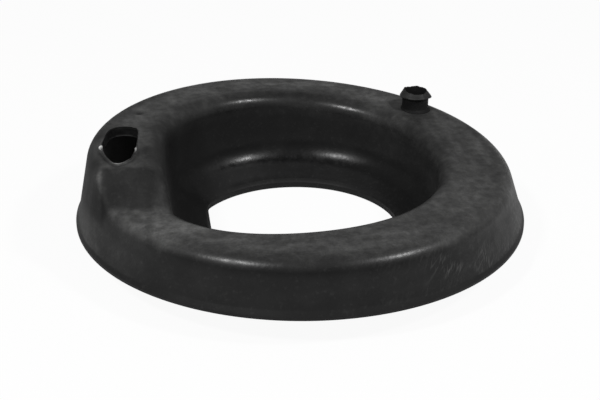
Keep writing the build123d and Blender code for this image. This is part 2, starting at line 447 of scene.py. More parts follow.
def pull_to_tear(points, top):
    """moves the grid near the block sideways, by the gap between the block's edge and the torn edge,
    and up or down by as much as the roof's height changes over that move"""
    first_row, last_row, first_column, last_column = roof_block(top)
    row, column = np.meshgrid(np.arange(ROWS), np.arange(COLUMNS), indexing="ij")
    near_row = np.clip(row, first_row, last_row)
    near_column = np.clip(column, first_column, last_column)
    out_row, out_column = abs(row - near_row) / FADE_ROWS, abs(column - near_column) / FADE_COLUMNS
    strength = ease(1 - np.hypot(out_row, out_column))
    edge = points[near_row, near_column, :2]
    turn = direction_of(edge - TEAR_MIDDLE)
    target = TEAR_MIDDLE + tear_reach(turn)[..., None] * np.stack([np.cos(turn), np.sin(turn)], -1)
    inside = (row > first_row) & (row < last_row) & (column > first_column) & (column < last_column)
    moved = points.copy()
    moved[..., :2] += np.where(inside, 0, strength)[..., None] * (target - edge)
    moved[..., 2] += roof_height(moved[..., :2]) - roof_height(points[..., :2])
    return moved, inside, strength


points, in_top, near_tear = pull_to_tear(to_points(section), True)
points, in_under, _ = pull_to_tear(points, False)
print("points left out:", int(in_top.sum()), "above and", int(in_under.sum()), "below")

# %% [markdown]
# Rubber that tears curls a little, so the points near the torn edge are lifted, most of all the
# nearest. Behind the opening the crown has a small dimple, as from a blunt tool. Both could be
# sculpted, but a bell-shaped push on the grid does it in one line and stays smooth.

# %% Curl of the torn edge and the small dimple
LIP_CURL = 0.28
DIMPLE, DIMPLE_SIZE, DIMPLE_DEPTH = np.array([-52.5, 19.7]), np.array([2.1, 1.4]), 0.7
on_top = np.zeros((ROWS, 1), bool)
on_top[corner_rows[SKIRT]:corner_rows[EDGE]] = True
plan = points[..., :2]
dimple = np.exp(-((plan - DIMPLE) / DIMPLE_SIZE) ** 2).prod(-1) * on_top
points[..., 2] += near_tear**3 * LIP_CURL * on_top
points[..., 2] -= DIMPLE_DEPTH * dimple
print("highest point of the shell", round(float(points[..., 2].max()), 2), "mm")

# %% [markdown]
# Now the cells are written down as quads. Both directions of the grid close on themselves, so
# the next row and the next column are taken with the remainder. The cells of the two blocks are
# dropped.

# %% Cells of the grid
def grid_cells(rows, columns):
    """corner numbers of the cells of a grid that closes on itself both ways, as (row, column, 4)"""
    row, column = np.meshgrid(np.arange(rows), np.arange(columns), indexing="ij")
    down, along = (row + 1) % rows, (column + 1) % columns
    cells = [row * columns + column, row * columns + along, down * columns + along, down * columns + column]
    return np.stack(cells, -1)


def shell_cells():
    """the cells of the shell's grid that aren't in a block"""
    keep = np.ones((ROWS, COLUMNS), bool)
    for top in (True, False):
        first_row, last_row, first_column, last_column = roof_block(top)
        keep[first_row:last_row, first_column:last_column] = False
    return grid_cells(ROWS, COLUMNS)[keep]


print(len(shell_cells()), "cells in the shell's grid")

# %% [markdown]
# The opening's inner face is torn rubber, as thick as the wall. Bridge Edge Loops could join the
# two edges, but a short grid between them can be roughened too: a few rings from the edge above
# to the edge below, in the order in which the points go round.

# %% Wall of the tear
TEAR_STEPS = 5


def block_edge(top):
    """point numbers round a block, in the same order above and below"""
    first_row, last_row, first_column, last_column = roof_block(top)
    rows = np.arange(first_row, last_row + 1)
    if not top:
        rows = rows[::-1]
    columns = np.arange(first_column, last_column + 1)
    sides = [
        (np.full(len(columns) - 1, rows[0]), columns[:-1]),
        (rows[:-1], np.full(len(rows) - 1, columns[-1])),
        (np.full(len(columns) - 1, rows[-1]), columns[:0:-1]),
        (rows[:0:-1], np.full(len(rows) - 1, columns[0])),
    ]
    return np.concatenate([r * COLUMNS + c for r, c in sides])


def tear_wall(flat):
    """rings of points between the torn edge above and the one below, and the cells between them"""
    above, below = block_edge(True), block_edge(False)
    share = (np.arange(1, TEAR_STEPS) / TEAR_STEPS)[:, None, None]
    rings = flat[above] + share * (flat[below] - flat[above])
    turn = np.linspace(0, 2 * math.pi, len(above), endpoint=False)[None, :, None]
    outwards = unit(rings[..., :2] - TEAR_MIDDLE)
    rings[..., :2] += outwards * waves(turn, [(23, 5 * share, 0.10), (9, -3 * share, 0.12)])
    numbers = len(flat) + np.arange(rings.shape[0] * rings.shape[1]).reshape(rings.shape[:2])
    ladder = np.concatenate([above[None], numbers, below[None]])
    ahead = np.roll(ladder, -1, axis=1)
    cells = np.stack([ladder[:-1], ladder[1:], ahead[1:], ahead[:-1]], -1).reshape(-1, 4)
    return rings.reshape(-1, 3), cells


grid_points = points.reshape(-1, 3)
wall_points, wall_cells = tear_wall(grid_points)
print(len(wall_cells), "cells in the wall of the tear")

# %% [markdown]
# Blender can turn faces outwards by itself, but on a hollow shell like this one that can go
# wrong. The volume inside a closed mesh is a surer test: it comes out negative when the faces
# point inwards, and then every face is turned round.

# %% Close the shell and turn its faces outwards
def signed_volume(vertices, cells):
    """volume inside a closed mesh, the sum of the pyramids from the origin to each half cell"""
    a, b, c, d = (vertices[cells[:, k]] for k in range(4))
    return float((np.cross(a, b) * c + np.cross(a, c) * d).sum() / 6)


def facing_outwards(vertices, cells):
    """the same cells, turned round if they enclose a negative volume"""
    return cells if signed_volume(vertices, cells) > 0 else cells[:, ::-1]


shell_points = np.concatenate([grid_points, wall_points])
all_cells = facing_outwards(shell_points, np.concatenate([shell_cells(), wall_cells]))
print("rubber in the shell:", round(signed_volume(shell_points, all_cells) / 1000, 1), "cm3")

# %% [markdown]
# Old rubber isn't one black. Dust and chalky bloom lie on the crown, the skirt is rubbed darker,
# and the bowl stays almost black. This could be painted by hand, but where a place sits in the
# section says most about its dust. So each corner of the section gets three values: at its arc's
# start, at its end, and on the stretch after it. They are blended along the rows. The crests of
# the two shoulders and the foot of the bowl are rubbed clean, and shine. Below nought the shine
# is duller than plain rubber, as on the whole underside.

# %% Dust and shine along the section
DUST_PROFILE = {
    SKIRT: (0.03, 0.03, 0.05), OUTER: (0.03, 0.52, 0.80), INNER: (0.78, 0.14, 0.02),
    FOOT: (0.01, 0.03, 0.02), EDGE: (0.03, 0.02, 0.02), BORE: (0.02, 0.02, 0.02),
}
SHINE_PROFILE = {
    SKIRT: (0.05, 0.05, 0.10), OUTER: (0.70, 1.00, 0.00), INNER: (1.00, 0.85, -0.10),
    FOOT: (0.42, 1.00, 0.05), EDGE: (-0.60, -0.60, -0.40), UNDER_LIP: (-1.00, -1.00, -0.50),
    **dict.fromkeys((UNDER_FLOOR - 1, UNDER_FLOOR, UNDER_INNER, UNDER_OUTER), (-1.00, -1.00, -1.00)),
}
STRETCH_ENDS = (0.25, 0.75)


def by_row(profile):
    """a profile's values, 0 at corners that it leaves out, blended along the rows in a column"""
    steps = [steps for _, _, steps, _ in section_corners(np.array([0.0]))[0]]
    starts = np.array(corner_rows)
    ends = starts + steps
    gaps = np.append(starts[1:], ROWS) - ends
    marks = np.stack([starts, ends, *(ends + share * gaps for share in STRETCH_ENDS)], -1)
    values = np.array([profile.get(corner, (0, 0, 0)) for corner in range(len(corner_rows))])
    shares = values[:, (0, 1, 2, 2)].reshape(-1)
    return np.interp(np.arange(ROWS), marks.reshape(-1), shares, period=ROWS)[:, None]


row_dust = by_row(DUST_PROFILE)
print("dust from", row_dust.min().round(2), "to", row_dust.max().round(2))

# %% [markdown]
# The wear isn't the same all round either. A few stains, seen from above, thin the dust or thicken it, and a
# few of the same bells paint light instead: a highlight on the step's left ridge and shade in the crease
# below the opening. They could be a painted mask, but a bell for each is enough, given by where it is, how
# far it spreads, and how much it adds.

# %% Stains and painted light
# Painted highlight: the three narrow bells near x -57 on the step's left ridge. Painted shade: the bell at
# (-60.5, -20.5) in the crease below the opening. The others thin or thicken the dust.
STAINS_AND_PAINTED_LIGHT = [
    (-10.3, 42.3, 8.0, -0.35), (-46.0, -12.3, 4.5, -0.45),
    (-40.8, -49.3, 8.0, 0.18), (-30.0, -55.0, 9.0, 0.20),
    (51.0, 16.4, 8.0, -0.25), (53.5, -0.8, 8.0, -0.30), (52.7, -16.0, 8.0, -0.32), (33.0, -42.0, 8.0, -0.26),
    (-62.0, -4.0, 3.0, -0.30), (-59.0, 14.0, 4.0, -0.20), (0.0, -47.0, 12.0, -0.10), (17.0, 60.0, 9.0, 0.35),
    (-57.3, -27.5, 1.5, 1.60), (-56.8, -31.0, 1.5, 1.80), (-56.2, -34.2, 1.5, 1.20), (41.7, -49.9, 5.0, 0.30),
    (0.0, 58.0, 12.0, 0.18), (-60.5, -20.5, 5.0, -0.70), (-49.0, 27.0, 7.0, -0.25), (44.0, -37.0, 7.0, -0.30),
    (38.0, 34.0, 7.0, -0.15), (23.5, -53.5, 7.0, -0.24), (30.0, -31.5, 4.0, 0.30), (35.0, -58.5, 5.0, 0.25),
    (-28.0, -43.5, 4.5, 0.45), (11.0, 47.0, 7.0, 0.20), (-11.6, -66.0, 5.0, -0.25),
]


def stains_and_painted_light(plan):
    """one, plus a bell for every entry, stain or painted light: x, y and spread in millimetres, and how much
    it adds
    """
    total = np.ones(plan.shape[:-1])
    for x, y, spread, amount in STAINS_AND_PAINTED_LIGHT:
        total += amount * np.exp(-(((plan - (x, y)) / spread) ** 2).sum(-1))
    return total


print(len(STAINS_AND_PAINTED_LIGHT), "stains, from", stains_and_painted_light(plan).min().round(2), "to", stains_and_painted_light(plan).max().round(2))

# %% [markdown]
# Round the front of the torn opening the rubber creased. The crease isn't in the mesh, so its shading is
# painted into the colour: a dark line of painted shade close to the edge, and a pale line of painted
# highlight on its ridge further out, on the first millimetres of the step. Both follow the torn edge, so they
# are worked out from the distance to it. The step's own face is steep: its colour is painted darker as shade,
# and it is duller.

# %% Painted shade and highlight of the crease, and the step's face
CREASE_STARTS, CREASE_BLEND = -11.0, 5.0
CREASE_SHADE_DISTANCE, CREASE_SHADE_WIDTH, CREASE_SHADE_AMOUNT = 1.3, 0.55, 0.6
CREASE_HIGHLIGHT_DISTANCE, CREASE_HIGHLIGHT_WIDTH = 3.6, 0.7


def window(value, start, rise_over, end, fall_over):
    """1 between start and end, eased in after the one and out before the other over two lengths"""
    return ease((value - start) / rise_over) * ease((end - value) / fall_over)


def line_round_tear(plan, distance, width):
    """1 on a line this far outside the torn edge, in front of it only, fading out sideways"""
    spoke = plan - TEAR_MIDDLE
    outside = np.linalg.norm(spoke, axis=-1) - tear_reach(direction_of(spoke))
    in_front = ease((CREASE_STARTS - plan[..., 1]) / CREASE_BLEND)
    return in_front * np.exp(-(((outside - distance) / width) ** 2))


def painted_crease_highlight(plan):
    """painted highlight on the crease's ridge, over the width of the opening"""
    return line_round_tear(plan, CREASE_HIGHLIGHT_DISTANCE, CREASE_HIGHLIGHT_WIDTH) * window(plan[..., 0], -60, 2, -48, 3)


def step_face(plan):
    """1 on the step's face, which is painted darker as shade, fading out over a few millimetres"""
    return window(plan[..., 1], -36.5, 3, -24, 2.5) * window(plan[..., 0], -58, 1.6, -38, 5)


# Painted shade along the crease, and a mask of the step's face for its painted shade
painted_crease_shade = CREASE_SHADE_AMOUNT * line_round_tear(plan, CREASE_SHADE_DISTANCE, CREASE_SHADE_WIDTH)
on_step_face = step_face(plan)
print("points on the step's face:", int((on_step_face > 0.5).sum()))

# %% [markdown]
# Some values change only round the ring, others only along the rows. Bells do for both. Round
# the ring a bell is given by its place and width in radians, from the right by way of the back,
# and its height. Along the rows it is given by a corner and a number of rows.

# %% Bells round the ring and along the rows
turn = np.radians(angles)[None, :]


def bells(turn, parts):
    """a sum of bells round the axis, each given by its place, its width and its height"""
    apart = [((turn - place + math.pi) % (2 * math.pi) - math.pi) / width for place, width, _ in parts]
    return sum(height * np.exp(-(a**2)) for a, (_, _, height) in zip(apart, parts))


def bell_on_rows(corner, after, spread):
    """a bell along the rows, one high this many rows after the start of a corner's arc"""
    return np.exp(-(((np.arange(ROWS) - corner_rows[corner] - after) / spread) ** 2))[:, None]


def band_of_rows(*marks):
    """0, 1, 1 and 0 at four rows, with straight lines between them"""
    return np.interp(np.arange(ROWS), marks, (0, 1, 1, 0))[:, None]


inner_row, foot_row, edge_row = (corner_rows[corner] for corner in (INNER, FOOT, EDGE))
in_bowl = band_of_rows(inner_row + 6, inner_row + 9, foot_row, foot_row + 12)
on_floor = band_of_rows(foot_row + 7, foot_row + 14, edge_row, edge_row + 3)
print("rows in the bowl:", int(in_bowl.sum()), "and on the floor:", int(on_floor.sum()))

# %% [markdown]
# The dust starts with the rows' shares. One even layer would be simpler, but the real one was rubbed. The
# outer crest holds more of it at the back right and at three places in front. The bowl's edge has less: at
# the back that is painted shade where the shoulder tilts away from the light, and at the flat it is simply
# darker. The step's face and the dimple are painted darker as shade. The skirt is dusty at its two sides, and
# on the left only low down. The right half of the bowl has a little, and the floor's back is painted darker
# than plain rubber, as shade at the bottom of the bowl: a share below nought goes darker.

# %% Dust and painted light as a value on the points
LEAST_DUST, STAIN_LIMITS = 0.02, (0.1, 2)
CREST_BACK, CREST_PLACES = 0.34, [(-2.32, 0.42, 0.34), (-0.85, 0.25, 0.30), (-2.66, 0.22, 0.25)]
# Less dust on the bowl's edge: at the back, painted shade where the shoulder tilts away from the light; at
# the flat, simply darker.
BOWL_EDGE_DARKER = [(1.6, 0.8, 0.5), (-2.97, 0.5, 0.35)]
# Share of the dust colour taken off as painted shade on the step's face and in the dimple.
FACE_PAINTED_SHADE, DIMPLE_PAINTED_SHADE = 0.78, 0.9
SKIRT_STARTS, SKIRT_BLEND = 61, 4
SIDE_DUST, LEFT_DUST, RIGHT_DUST, LEFT_TOP, LEFT_BLEND = 0.24, 1.85, 0.95, 22, 7
# The floor's back is painted darker than plain rubber, as shade at the bottom of the bowl.
BOWL_DUST, CREASE_HIGHLIGHT_AMOUNT, FLOOR_PAINTED_SHADE = 0.10, 0.10, [(1.75, 0.55, 0.09)]

on_skirt = ease((np.linalg.norm(plan, axis=-1) - SKIRT_STARTS) / SKIRT_BLEND) * on_top
side = np.cos(turn) ** 2 + np.zeros((ROWS, 1))
on_crest = CREST_BACK * ease(0.5 + 0.8 * np.sin(turn + 0.6)) + bells(turn, CREST_PLACES)
dust_and_painted_light = row_dust + bell_on_rows(OUTER, 6, 5) * on_crest - bell_on_rows(INNER, 0, 7) * bells(turn, BOWL_EDGE_DARKER)
dust_and_painted_light = np.maximum(dust_and_painted_light, LEAST_DUST) * np.clip(stains_and_painted_light(plan) - painted_crease_shade, *STAIN_LIMITS)
# Painted shade: the step's face and the dimple lose most of their dust colour.
dust_and_painted_light = dust_and_painted_light * (1 - FACE_PAINTED_SHADE * on_step_face) * (1 - DIMPLE_PAINTED_SHADE * dimple)
on_left = LEFT_DUST * ease((LEFT_TOP - points[..., 2]) / LEFT_BLEND)
dust_and_painted_light += SIDE_DUST * ease((side - 0.3) / 0.6) * on_skirt * np.where(np.cos(turn) < 0, on_left, RIGHT_DUST)
# The crease's pale line, added here, is a painted highlight.
dust_and_painted_light += BOWL_DUST * in_bowl * ease(0.3 + 0.9 * np.cos(turn + 0.3)) + CREASE_HIGHLIGHT_AMOUNT * painted_crease_highlight(plan)
# Painted shade on the back of the bowl's floor.
dust_and_painted_light -= on_floor * bells(turn, FLOOR_PAINTED_SHADE)
print("dust on the points from", dust_and_painted_light.min().round(2), "to", dust_and_painted_light.max().round(2))

# %% [markdown]
# The shine starts with the rows' values as well. It is kept off the step's face, the torn edge,
# the two sides and the whole left, and the step's face and the skirt's left are duller than plain
# rubber. One place at the back of the bowl is half as shiny. Scuffs lie only on the right of the
# skirt. The mesh takes all of these values on its points, where the material reads them.

# %% Shine and scuffs, and the shell's mesh
FACE_DULLER, FLAT_DULLER, SIDES_DULLER = 0.9, 0.5, 0.7
BACK_DULLER = [(math.radians(103), 0.13, 0.5)]
SCUFF_TURNED, TORN_WALL_PAINTED_SHADE = math.radians(12), -0.04

left_flat = ease((-np.cos(turn) - 0.6) / 0.3)
at_sides = SIDES_DULLER * ease((side - 0.5) / 0.4)
kept = (1 - on_step_face) * (1 - near_tear) * (1 - at_sides) * (1 - left_flat)
sheltered = np.maximum(FACE_DULLER * on_step_face, FLAT_DULLER * left_flat * on_skirt)
shine = by_row(SHINE_PROFILE) * kept * (1 - in_bowl * bells(turn, BACK_DULLER)) - sheltered
scuff = ease((np.cos(turn + SCUFF_TURNED) - 0.35) / 0.5) * on_skirt


def new_piece(name, vertices, cells, values):
    """a smooth mesh object from arrays in millimetres, with its values on the points"""
    mesh = bpy.data.meshes.new(name)
    used = np.unique(cells)
    renumber = np.zeros(len(vertices), int)
    renumber[used] = np.arange(len(used))
    mesh.from_pydata((vertices[used] * MM).tolist(), [], renumber[cells].tolist())
    mesh.update()
    for key, of_points in values.items():
        layer = mesh.attributes.new(key, "FLOAT", "POINT")
        layer.data.foreach_set("value", of_points[used].astype(np.float32))
    mesh.polygons.foreach_set("use_smooth", np.ones(len(cells), bool))
    piece = bpy.data.objects.new(name, mesh)
    bpy.context.scene.collection.objects.link(piece)
    print(name, len(used), "points", len(cells), "cells")
    return piece


# The torn wall's colour is painted darker than plain rubber, as shade inside the opening.
in_tear = np.zeros(len(wall_points))
shell = new_piece("rubber_shell", shell_points, all_cells, {
    "dust_and_painted_light": np.append(dust_and_painted_light, in_tear + TORN_WALL_PAINTED_SHADE),
    "shine": np.append(shine, in_tear - 1),
    "scuff": np.append(scuff, in_tear),
    "side": np.append(side, in_tear + 1),
})

# %% [markdown]
# The nipple is a hollow plug with one barb. It holds the cap to the body while the spring goes
# in. It could be a Screw modifier on a drawn profile, but only its shaft is truly round: the tip
# was torn off when the cap came out, and the barb was bent out at the right. So the profile is
# turned by numpy, the heights above the shaft are lowered towards the torn rim, and the barb is
# pushed out and down. The profile's points are (radius, height), from the root up the outside,
# over the rim and down the hollow.

# %% Profile of the nipple
NIPPLE_ANGLE, NIPPLE_REACH = 45.5, CROWN_MIDDLE + 2.05
NIPPLE_OUTSIDE = [
    (5.3, -1.2), (5.3, -0.1), (5.05, 0.2), (4.66, 0.45), (4.5, 0.8), (4.46, 2.4), (4.5, 4.1),
    (4.6, 4.5), (5.05, 4.62), (5.2, 4.72), (5.24, 4.92), (5.05, 5.2), (4.65, 5.65), (4.25, 6.15),
    (3.95, 6.6), (3.8, 6.8),
]
NIPPLE_HOLLOW = [(3.66, 6.76), (3.45, 6.2), (3.2, 5.3), (2.9, 4.4), (2.7, 2.6), (2.7, -1.2)]
NIPPLE_TURNS = 128
profile = np.array(NIPPLE_OUTSIDE + NIPPLE_HOLLOW)
profile_radius, profile_height = profile.T
print("nipple", 2 * profile_radius.max(), "mm wide and", profile_height.max(), "mm high")

# %% Torn rim and bent barb
SHAFT_LENGTH = 4.6
RIM_LOWERED, RIM_TORN = 0.10, [(2.85, 0.32, -0.6), (4.9, 0.9, 0.5), (0.1, 0.5, 0.2)]
RIM_RAGGED, RIM_BUCKLED = [(7, 1, 0.07), (13, 0, 0.05)], [(5, 0.5, 0.10)]
BARB_RADIUS, BARB_HEIGHT, BARB_SPREAD = 4.7, 4.8, 0.45
BARB_BENT, BENT_DOWN, BENT_OUT = [(0.05, 0.45, 1.0), (3.3, 0.4, 0.3)], 0.7, 0.35
BARB_RAGGED_DOWN, BARB_RAGGED_OUT = [(9, 0, 0.06)], [(11, 0, 0.05)]


def nipple_grid():
    """the profile turned round the axis: its rim torn down, highest at the left and lowest in
    front, and its barb bent by two bells"""
    turn = np.linspace(0, 2 * math.pi, NIPPLE_TURNS, endpoint=False)
    share = ease((profile_height - SHAFT_LENGTH) / (profile_height.max() - SHAFT_LENGTH))[:, None]
    barb = np.exp(-(((profile_height - BARB_HEIGHT) / BARB_SPREAD) ** 2)) * (profile_radius > BARB_RADIUS)
    barb, bent = barb[:, None], bells(turn, BARB_BENT)
    lowered = share * (RIM_LOWERED + bells(turn, RIM_TORN) + waves(turn, RIM_RAGGED))
    height = profile[:, 1:] - lowered - barb * (BENT_DOWN * bent + waves(turn, BARB_RAGGED_DOWN))
    radius = profile[:, :1] + share * waves(turn, RIM_BUCKLED)
    radius = radius + barb * (BENT_OUT * bent + waves(turn, BARB_RAGGED_OUT))
    centre = math.radians(NIPPLE_ANGLE)
    foot = LIP_LEVEL + float(crown(np.array([NIPPLE_ANGLE]), NIPPLE_REACH)[0])
    x = NIPPLE_REACH * math.cos(centre) + radius * np.cos(turn)
    y = NIPPLE_REACH * math.sin(centre) + radius * np.sin(turn)
    return np.stack([x, y, height + foot], -1).reshape(-1, 3)


nipple_points = nipple_grid()
nipple_cells = facing_outwards(nipple_points, grid_cells(len(profile), NIPPLE_TURNS).reshape(-1, 4))
print("nipple volume", round(signed_volume(nipple_points, nipple_cells), 1), "mm3")

# %% [markdown]
# Dust holds on the barb's cone, which faces upwards. The shaft stands in its shade: it is duller, and its
# colour is painted darker than plain rubber as shade. The hollow is painted the darkest of all, as shade.

# %% Dust, painted shade and shine on the nipple
CONE_DUST, SHAFT_PAINTED_SHADE, HOLLOW_PAINTED_SHADE = 0.22, -0.03, -0.06
CONE_SHINE, SHAFT_SHINE, HOLLOW_SHINE = 0.1, -0.6, -1.0
CONE_STARTS = SHAFT_LENGTH - 0.2
in_hollow = np.arange(len(profile)) >= len(NIPPLE_OUTSIDE)
on_cone = (profile_height > CONE_STARTS) & ~in_hollow


def by_profile(cone, shaft, hollow):
    """one of three values for each of the nipple's points, by its place in the profile"""
    return np.repeat(np.where(in_hollow, hollow, np.where(on_cone, cone, shaft)), NIPPLE_TURNS)


nipple = new_piece("barbed_nipple", nipple_points, nipple_cells, {
    "dust_and_painted_light": by_profile(CONE_DUST, SHAFT_PAINTED_SHADE, HOLLOW_PAINTED_SHADE),
    "shine": by_profile(CONE_SHINE, SHAFT_SHINE, HOLLOW_SHINE),
    "scuff": by_profile(0.0, 0.0, 0.0),
    "side": by_profile(0.0, 0.0, 0.0),
})

# %% [markdown]
# Where the rubber tore, its edge rolled over. The roll could be a bevelled curve, but its
# thickness changes all the way round. So it is a thin tube along the torn edge, thicker in front,
# with a small lip standing up at each end of the front half. Its centre line is the torn edge, cut
# into equal lengths and moved out and up by part of the tube's radius. That radius is a sum of
# bells by direction.

# %% Rolled edge of the tear
ROLL_STEPS, ROLL_SIDES = 260, 12
LEFT_LIP, RIGHT_LIP, FRONT_GLINT = math.radians(-148), math.radians(-33), math.radians(-80)
ROLL_LEAST, ROLL_FRONT, ROLL_LIPS = 0.09, 0.12, [(LEFT_LIP, 0.24, 0.38), (RIGHT_LIP, 0.22, 0.22)]
ROLL_RAGGED, ROLL_OUT, ROLL_UP = [(21, 0, 0.02)], 0.5, 0.35
UP = np.array([0.0, 0.0, 1.0])


def roll_radius(direction):
    """radius of the roll: thin behind, over twice that in front, and swollen at the two lips"""
    front = ROLL_FRONT * ease(0.5 - 0.9 * np.sin(direction))
    return ROLL_LEAST + front + bells(direction, ROLL_LIPS) + waves(direction, ROLL_RAGGED)


def even_loop(loop, steps):
    """points at equal distances along a closed line"""
    closed = np.concatenate([loop, loop[:1]])
    length = np.concatenate([[0], np.cumsum(np.linalg.norm(np.diff(closed, axis=0), axis=1))])
    places = np.linspace(0, length[-1], steps, endpoint=False)
    return np.stack([np.interp(places, length, closed[:, k]) for k in range(3)], -1)


def rolled_edge():
    """rings round the torn edge, in the plane of the upward and the outward direction"""
    middle = even_loop(grid_points[block_edge(True)], ROLL_STEPS)
    outwards = unit(middle[:, :2] - TEAR_MIDDLE)
    thick = roll_radius(direction_of(outwards))[:, None]
    outwards = np.append(outwards, np.zeros((ROLL_STEPS, 1)), axis=1)
    middle = middle + (ROLL_OUT * outwards + ROLL_UP * UP) * thick
    turn = np.linspace(0, 2 * math.pi, ROLL_SIDES, endpoint=False)[:, None]
    rings = middle[:, None] + thick[:, None] * (np.cos(turn) * outwards[:, None] + np.sin(turn) * UP)
    return rings.reshape(-1, 3), thick[:, 0]


roll_points, roll_thick = rolled_edge()
roll_cells = facing_outwards(roll_points, grid_cells(ROLL_STEPS, ROLL_SIDES).reshape(-1, 4))
print("roll from", roll_thick.min().round(2), "to", roll_thick.max().round(2), "mm in radius")

# %% [markdown]
# The roll's two lips and the middle of its front carry painted glints: a highlight painted into the colour,
# where the dust value goes far over one, which takes the colour past the dust's. The rest of the roll has an
# even light dust. The thick parts are also rubbed to a shine.

# %% Painted glints on the roll
ROLL_DUST, ROLL_PAINTED_GLINTS = 0.3, [(LEFT_LIP, 0.19, 7.0), (RIGHT_LIP, 0.15, 3.5), (FRONT_GLINT, 0.16, 2.2)]
ROLL_DULL, ROLL_BLEND = 0.1, 0.3
# Painted highlight: the bells of ROLL_PAINTED_GLINTS lift the colour at the lips and the front.
roll_dust_and_glints = ROLL_DUST + bells(direction_of(roll_points[:, :2] - TEAR_MIDDLE), ROLL_PAINTED_GLINTS)
roll_shine = np.repeat(ease((roll_thick - ROLL_DULL) / ROLL_BLEND), ROLL_SIDES)
none = np.zeros(len(roll_points))
roll_values = {"dust_and_painted_light": roll_dust_and_glints, "shine": roll_shine, "scuff": none, "side": none}
roll = new_piece("rolled_edge", roll_points, roll_cells, roll_values)

# %% [markdown]
# A material is a tree of nodes. Each could be made and joined in three or four lines, but the
# same few kinds come up again and again, so each kind gets a short function that returns the
# output to go on with.

# %% Helpers for the materials
def put(tree, socket, value):
    """joins another node's output to an input, or sets the input to a plain value"""
    if isinstance(value, bpy.types.NodeSocket):
        tree.links.new(value, socket)
    else:
        socket.default_value = value


def node(tree, kind, *in_order, **by_name):
    """a new node, whose inputs are given in their own order or by name"""
    made = tree.nodes.new(kind)
    for socket, value in zip(made.inputs, in_order):
        put(tree, socket, value)
    for name, value in by_name.items():
        put(tree, made.inputs[name], value)
    return made


def maths(tree, operation, first, *others):
    """the first value, taken together with each of the others in turn by a Math node"""
    result = first
    for value in others:
        made = node(tree, "ShaderNodeMath", result, value)
        made.operation = operation
        result = made.outputs[0]
    return result


def between(tree, value, start, end, new_start=0.0, new_end=1.0):
    """a value stretched from one range to another and held inside it"""
    return node(tree, "ShaderNodeMapRange", value, start, end, new_start, new_end).outputs[0]


def blend(tree, kind, share, first, second):
    """a mix of two values or colours, by a share from 0 to 1, or outside that for less or more"""
    made = tree.nodes.new("ShaderNodeMix")
    made.data_type = kind
    made.clamp_factor = False
    made.clamp_result = True
    sockets = [socket for socket in made.inputs if socket.enabled]
    for socket, value in zip(sockets, (share, first, second)):
        put(tree, socket, value)
    return [socket for socket in made.outputs if socket.enabled][0]


def noise(tree, scale, detail, stretch=(1, 1, 1), turned=(0, 0, 0)):
    """noise on the object's own coordinates, this many to the metre, stretched along axes that are turned"""
    coordinates = node(tree, "ShaderNodeTexCoord").outputs["Object"]
    mapping = node(tree, "ShaderNodeMapping", Vector=coordinates, Rotation=turned, Scale=stretch)
    mapping.vector_type = "TEXTURE"
    made = node(tree, "ShaderNodeTexNoise", Vector=mapping.outputs[0], Scale=scale, Detail=detail)
    return made.outputs["Fac"]


def attribute(tree, name):
    """the value of this name that the mesh carries on its points"""
    made = tree.nodes.new("ShaderNodeAttribute")
    made.attribute_name = name
    return made.outputs["Fac"]


helpers = (put, node, maths, between, blend, noise, attribute)
print("node helpers:", ", ".join(helper.__name__ for helper in helpers))

# %% [markdown]
# Dust on old rubber is uneven at every size. One noise of many octaves could do it, but then all
# sizes have one look. So the points' dust is multiplied by five layers of noise: clouds of bloom,
# patches with sharp borders, bands that run round the ring, mottling a few millimetres across,
# and fine grain. Then pale specks and smears are added over everything. The bands are noise
# stretched along X at the front and back and along Y at the sides, mixed by the points' value
# "side".

# %% Uneven dust
DUST_LAYERS = {
    "clouds": (34, 4, 0.35, 0.65, 0.78, 1.20),
    "patches": (70, 3, 0.49, 0.53, 0.92, 1.08),
    "mottling": (420, 5, 0.38, 0.62, 0.78, 1.22),
    "grain": (1700, 3, 0.30, 0.70, 0.82, 1.18),
}
ADDED_LAYERS = {"specks": (900, 3, 0.58, 0.72, 0.0, 0.10), "smears": (120, 5, 0.45, 0.70, 0.0, 0.04)}
BAND_SIZE, BAND_DETAIL, BAND_STRETCH, BAND_RANGE = 260, 5, 4, (0.38, 0.62, 0.76, 1.24)
BANDS_TURNED = (0.2, 0.25)


def noise_layer(tree, scale, detail, *ranges):
    """noise of one size, with a range of it stretched to a range of dust"""
    return between(tree, noise(tree, scale, detail), *ranges)


def bands(tree):
    """streaks that run round the ring"""
    stretches = (BAND_STRETCH, 1, 1), (1, BAND_STRETCH, 1)
    along_x, along_y = (
        noise(tree, BAND_SIZE, BAND_DETAIL, stretch=stretch, turned=(0, 0, turned))
        for stretch, turned in zip(stretches, BANDS_TURNED)
    )
    return between(tree, blend(tree, "FLOAT", attribute(tree, "side"), along_x, along_y), *BAND_RANGE)


def uneven_dust(tree):
    """the points' dust times every layer, plus what lies over everything"""
    layers = [noise_layer(tree, *settings) for settings in DUST_LAYERS.values()]
    amount = maths(tree, "MULTIPLY", attribute(tree, "dust_and_painted_light"), bands(tree), *layers)
    return maths(tree, "ADD", amount, *(noise_layer(tree, *settings) for settings in ADDED_LAYERS.values()))


print("layers of dust:", ", ".join([*DUST_LAYERS, "bands", *ADDED_LAYERS]))

# %% [markdown]
# The skirt's right side is scuffed by thin pale lines. They could be an image, but noise that is
# stretched to sixteen times its length along one direction gives such lines too. Two directions
# in the wall's plane cross each other, and a coarser noise gathers the lines in patches.

# %% Scratches
SCRATCH_SIZE, SCRATCH_DETAIL, SCRATCH_STRETCH, SCRATCH_RANGE = 1500, 3, 16, (0.53, 0.64)
SCRATCHES_TURNED = (-0.76, 0.725, 0), (-0.35, 0.30, 0)
SCRATCH_PATCHES, SCRATCH_AMOUNT = (75, 3, 0.42, 0.60), 0.42


